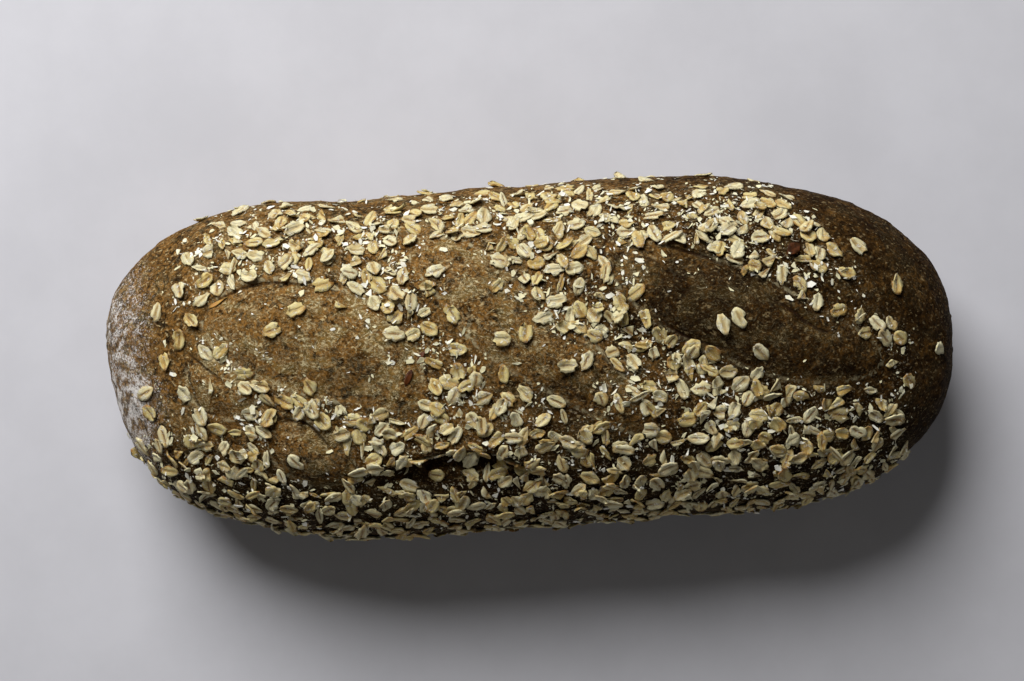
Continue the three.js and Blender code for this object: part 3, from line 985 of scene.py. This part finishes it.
def made(key):
    """What an earlier step made. It is an error to run a step before the one it needs."""
    if key not in _made:
        raise RuntimeError(f"The steps run in order: the {key} must be made first")
    return _made[key]


def crust_in_mm():
    """The finished crust's mesh, in millimetres."""
    mesh = bpy.data.objects[CRUST_PIECE].data.copy()
    mesh.transform(Matrix.Scale(1 / MM, 4))
    return mesh


def oat_shapes():
    """The shapes that whole flakes and fragments are copied from, made once."""
    if "shapes" not in _made:
        rng = random.Random(FLAKE_SEED)
        wholes = [flake_mesh(k, rng) for k in range(FLAKE_VARIANTS)]
        parts = [broken_mesh(f"broken_shape_{k}", rng, rng.choice(wholes), rng.choice((1, 2, 3)), 0.25, 0.8)
                 for k in range(BROKEN_VARIANTS)]
        crumbs = [crumb_mesh(k, rng, rng.choice(wholes)) for k in range(CRUMB_VARIANTS)]
        _made["shapes"] = (wholes, parts, crumbs)
    return _made["shapes"]


def shared_material(name, maker, look):
    return bpy.data.materials.get(name) or maker(look)


def lie_of(node):
    """A CAD piece's middle, the turn of its long side seen from above, and its length and width."""
    points = coordinates(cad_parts[node].data) / MM
    centre = points.mean(0)
    axes = np.linalg.svd(points - centre, full_matrices=False)[2]
    spread = np.ptp((points - centre) @ axes.T, axis=0)
    return Vector(centre), axes[0], spread[0], spread[1]


def lay_over(bed, node, shape, sink, tone):
    """Lays a shape where a CAD piece lies, at that piece's length and width."""
    centre, long_side, length, width = lie_of(node)
    point, normal = bed.crust.find_nearest(centre)[:2]
    side = normal.cross(Vector((1, 0, 0))).normalized()
    front = side.cross(normal)
    turn = math.atan2(Vector(long_side).dot(side), Vector(long_side).dot(front))
    return placed(shape, bed.lay(point, normal, turn, length, width, sink), tone)


class LOAF_OT_bake_crust(bpy.types.Operator):
    """Make the loaf's baked body"""

    bl_idname = "loaf.bake_crust"
    bl_label = "Bake Crust"

    def execute(self, context):
        settings = context.scene.loaf_crust
        finish_piece(CRUST_PIECE, crust_mesh(settings), "crust", crust_material(settings), "loaf")
        _made["bed"] = Bed(crust_in_mm())
        return {"FINISHED"}


class LOAF_OT_lay_clear_flakes(bpy.types.Operator):
    """Lay the oat flakes that lie clear of the others, each a piece of its own"""

    bl_idname = "loaf.lay_clear_flakes"
    bl_label = "Lay Clear Flakes"

    def execute(self, context):
        look = context.scene.loaf_oats
        material = shared_material("rolled_oat", oat_material, look)
        bed, shapes, rng = made("bed"), oat_shapes()[0], random.Random(FLAKE_SEED + 1)
        laid = [lay_over(bed, node, rng.choice(shapes), CLEAR_SINK, rng.random()) for node in CLEAR_FLAKES]
        bed.settle([mesh.copy() for mesh in laid])
        _made["taken places"] = [coordinates(mesh).mean(0) for mesh in laid]
        for node, mesh in zip(CLEAR_FLAKES, laid):
            finish_piece(node.replace("oat_flake", "flake"), mesh, "oat", material, node)
        return {"FINISHED"}


class LOAF_OT_add_husks(bpy.types.Operator):
    """Lay the bran and husk pieces that baked on among the oats"""

    bl_idname = "loaf.add_husks"
    bl_label = "Add Husks"

    def execute(self, context):
        look = context.scene.loaf_oats
        bed, shapes, rng = made("bed"), oat_shapes()[0], random.Random(FLAKE_SEED + 2)
        red = ("red_husk", look.red_husk, look.dark_husk)
        dark = ("dark_husk", look.dark_husk, look.red_husk)
        finishes = (dark, red, red, ("bran", look.bran, look.golden))
        laid = [lay_over(bed, node, rng.choice(shapes), CLEAR_SINK, 0.5) for node in HUSKS]
        bed.settle([mesh.copy() for mesh in laid])
        made("taken places").extend(coordinates(mesh).mean(0) for mesh in laid)
        for node, mesh, (slot, colour, edge) in zip(HUSKS, laid, finishes):
            finish_piece(node + "_piece", mesh, slot, husk_material(node + "_skin", colour, edge), node)
        return {"FINISHED"}


FLAKE_SAMPLES = 17000           # places tried in each round
FLAKE_SPACING = 5.2             # between the middles of flakes where the oats lie thickest
THINNEST_COVER = 0.04
WHOLE_SHARE, WIDE_SHARE, LEANING_SHARE = 0.64, 0.84, 0.22
LEAN_ABOVE = 54                 # flakes lean on an edge only above this height
FAR_SLOPE = 45                  # past here, across the loaf, flakes are pressed in deeper
LIGHT_SINK, DEEP_SINK = 0.15, 0.4

ZONES = {
    "oats_far_side": lambda across: across > 20,
    "oats_front_side": lambda across: across < -20,
    "oats_middle": lambda across: True,
}


class LOAF_OT_scatter_flakes(bpy.types.Operator):
    """Scatter whole flakes over the crust in layers, each lying on the ones before"""

    bl_idname = "loaf.scatter_flakes"
    bl_label = "Scatter Flakes"

    def execute(self, context):
        look = context.scene.loaf_oats
        material = shared_material("rolled_oat", oat_material, look)
        bed, (wholes, parts, _) = made("bed"), oat_shapes()
        rng = np.random.default_rng(FLAKE_SEED)
        pick = random.Random(FLAKE_SEED + 3)
        crust = crust_in_mm()
        groups = {zone: [] for zone in ZONES}
        for layer in range(look.layers):
            points, normals = surface_samples(crust, FLAKE_SAMPLES, rng)
            thick = look.layers * oat_cover(points, 0.97) * (0.34 + 0.66 * clumps(points, 13, 5.5))
            thick = np.clip(thick - layer, 0, 1)
            wanted = np.flatnonzero(thick > THINNEST_COVER)
            spacing = FLAKE_SPACING / np.sqrt(thick[wanted])
            kept = wanted[thin_out(points[wanted], spacing, made("taken places"))]
            laid = []
            for k in kept:
                length = look.length * pick.uniform(0.8, 1.12)
                widths = (0.8, 1.18) if pick.random() < WIDE_SHARE else (0.45, 0.7)
                width = look.width * pick.uniform(*widths)
                turn = pick.uniform(0, 2 * math.pi)
                leaning = pick.random() < LEANING_SHARE and points[k][2] > LEAN_ABOVE
                lean = pick.uniform(0.2, 0.6) if leaning else 0
                sink = LIGHT_SINK if points[k][1] < FAR_SLOPE else DEEP_SINK
                matrix = bed.lay(Vector(points[k]), Vector(normals[k]), turn, length, width, sink, lean)
                shape = pick.choice(wholes if pick.random() < WHOLE_SHARE else parts)
                laid.append(placed(shape, matrix, pick.random()))
                zone = next(zone for zone, inside in ZONES.items() if inside(points[k][1]))
                groups[zone].append(laid[-1])
            bed.settle([mesh.copy() for mesh in laid])
        for zone, meshes in groups.items():
            finish_piece(zone, joined(zone, meshes), "oat", material)
        return {"FINISHED"}


# Heaps of broken oats: middle, reach both ways and how thick.
CRUMB_HEAPS = [(24, 20, 16, 14, 1), (-110, 0, 9, 11, 0.8)]
ON_A_FLAKE = 0.3                # a crumb's bed this far above the crust is a flake
KEPT_OFF_FLAKES = 0.7           # the share of such crumbs that is left out
FINE_SHARE, SLIVER_SHARE = 0.78, 0.5


class LOAF_OT_scatter_crumbs(bpy.types.Operator):
    """Scatter crumbs of broken oats over the crust and among the flakes"""

    bl_idname = "loaf.scatter_crumbs"
    bl_label = "Scatter Crumbs"

    def execute(self, context):
        look = context.scene.loaf_oats
        material = shared_material("broken_oat", crumb_material, look)
        bed, crumbs = made("bed"), oat_shapes()[2]
        rng = np.random.default_rng(FLAKE_SEED + 7)
        pick = random.Random(FLAKE_SEED + 8)
        points, normals = surface_samples(crust_in_mm(), look.crumbs, rng)
        heap = sum(thick * mound(points, *patch) for *patch, thick in CRUMB_HEAPS)
        heap *= smooth_step(30, 50, points[:, 2])
        chance = 1.5 * (oat_cover(points, 0.86) + heap) * (0.1 + 0.9 * clumps(points, 9, 8.1)) ** 1.5
        chance *= 1 - 0.45 * smooth_step(-18, -34, points[:, 1])
        groups = {"crumbs_far_side": [], "crumbs_near_side": []}
        for point, normal, limit in zip(points, normals, chance):
            if pick.random() > limit:
                continue
            if bed.height(Vector(point), Vector(normal)) > ON_A_FLAKE and pick.random() < KEPT_OFF_FLAKES:
                continue
            sizes = (0.7, 1.9) if pick.random() < FINE_SHARE else (1.9, 3.8)
            size = pick.uniform(*sizes)
            widths = (0.22, 0.4) if pick.random() < SLIVER_SHARE else (0.45, 0.85)
            width = size * pick.uniform(*widths)
            turn = pick.uniform(0, 2 * math.pi)
            matrix = bed.lay(Vector(point), Vector(normal), turn, size, width, 0.0)
            zone = "crumbs_far_side" if point[1] > 0 else "crumbs_near_side"
            groups[zone].append(placed(pick.choice(crumbs), matrix, pick.random()))
        for zone, meshes in groups.items():
            finish_piece(zone, joined(zone, meshes), "oat", material, smooth=False)
        return {"FINISHED"}


LIGHT_TARGET = (0, 0, 0.03)
KEY_PLACE, KEY_SIZE = (-0.45, 1.06, 0.965), 1.1
FRONT_PLACE, FRONT_SIZE = (0.25, -2.2, 0.75), 1.7
ROOM_COLOUR = (1.0, 0.97, 0.93, 1)
FLOOR_HALF_SIZE = 3
CAMERA_ACROSS, CAMERA_TURN, CAMERA_LENS = (-0.0073, 0.0067), math.radians(-2.5), 66.7


class LOAF_OT_set_stage(bpy.types.Operator):
    """Set the floor, the lights and the camera over the loaf"""

    bl_idname = "loaf.set_stage"
    bl_label = "Set Stage"

    def execute(self, context):
        stage = context.scene.loaf_stage
        self.add_floor(stage)
        self.add_camera(context, stage)
        self.add_light("key", KEY_PLACE, KEY_SIZE, stage.key_power)
        self.add_light("front_fill", FRONT_PLACE, FRONT_SIZE, stage.front_power)
        world = bpy.data.worlds.new("soft_room")
        world.use_nodes = True
        background = world.node_tree.nodes["Background"]
        background.inputs["Color"].default_value = ROOM_COLOUR
        background.inputs["Strength"].default_value = stage.fill
        context.scene.world = world
        context.scene.view_settings.view_transform = "Standard"
        return {"FINISHED"}

    def add_floor(self, stage):
        bm = bmesh.new()
        bmesh.ops.create_grid(bm, x_segments=1, y_segments=1, size=FLOOR_HALF_SIZE)
        floor = bpy.data.objects.new("floor", mesh_from("floor", bm))
        bpy.context.scene.collection.objects.link(floor)
        floor.data.materials.append(floor_material(stage))

    def add_camera(self, context, stage):
        """Straight above, a little to the left of and past the loaf's middle, and turned a little."""
        data = bpy.data.cameras.new("camera")
        data.lens = CAMERA_LENS
        camera = bpy.data.objects.new("camera", data)
        camera.location = (*CAMERA_ACROSS, stage.height)
        camera.rotation_euler = (0, 0, CAMERA_TURN)
        context.scene.collection.objects.link(camera)
        context.scene.camera = camera

    def add_light(self, name, place, size, power):
        data = bpy.data.lights.new(name, "AREA")
        data.shape = "DISK"
        data.size = size
        data.energy = power
        light = bpy.data.objects.new(name, data)
        light.location = place
        light.rotation_euler = (Vector(LIGHT_TARGET) - Vector(place)).to_track_quat("-Z", "Y").to_euler()
        bpy.context.scene.collection.objects.link(light)


class LOAF_PT_panel(bpy.types.Panel):
    """The loaf's sizes, colours and steps"""

    bl_label = "Oat-Topped Loaf"
    bl_space_type = "VIEW_3D"
    bl_region_type = "UI"
    bl_category = "Loaf"

    def draw(self, context):
        for group in ("loaf_crust", "loaf_oats", "loaf_stage"):
            settings = getattr(context.scene, group)
            box = self.layout.box()
            for name in settings.__annotations__:
                box.prop(settings, name)
        for operator in STEPS:
            self.layout.operator(operator.bl_idname)


STEPS = (LOAF_OT_bake_crust, LOAF_OT_lay_clear_flakes, LOAF_OT_add_husks, LOAF_OT_scatter_flakes,
         LOAF_OT_scatter_crumbs, LOAF_OT_set_stage)
CLASSES = (LoafCrustSettings, LoafOatSettings, LoafStageSettings, *STEPS, LOAF_PT_panel)


def register():
    for cls in CLASSES:
        bpy.utils.register_class(cls)
    bpy.types.Scene.loaf_crust = PointerProperty(type=LoafCrustSettings)
    bpy.types.Scene.loaf_oats = PointerProperty(type=LoafOatSettings)
    bpy.types.Scene.loaf_stage = PointerProperty(type=LoafStageSettings)


def unregister():
    del bpy.types.Scene.loaf_stage
    del bpy.types.Scene.loaf_oats
    del bpy.types.Scene.loaf_crust
    for cls in reversed(CLASSES):
        bpy.utils.unregister_class(cls)


def main():
    register()
    for step in STEPS:
        name = step.bl_idname.split(".")[1]
        getattr(bpy.ops.loaf, name)()


if __name__ == "__main__":
    main()
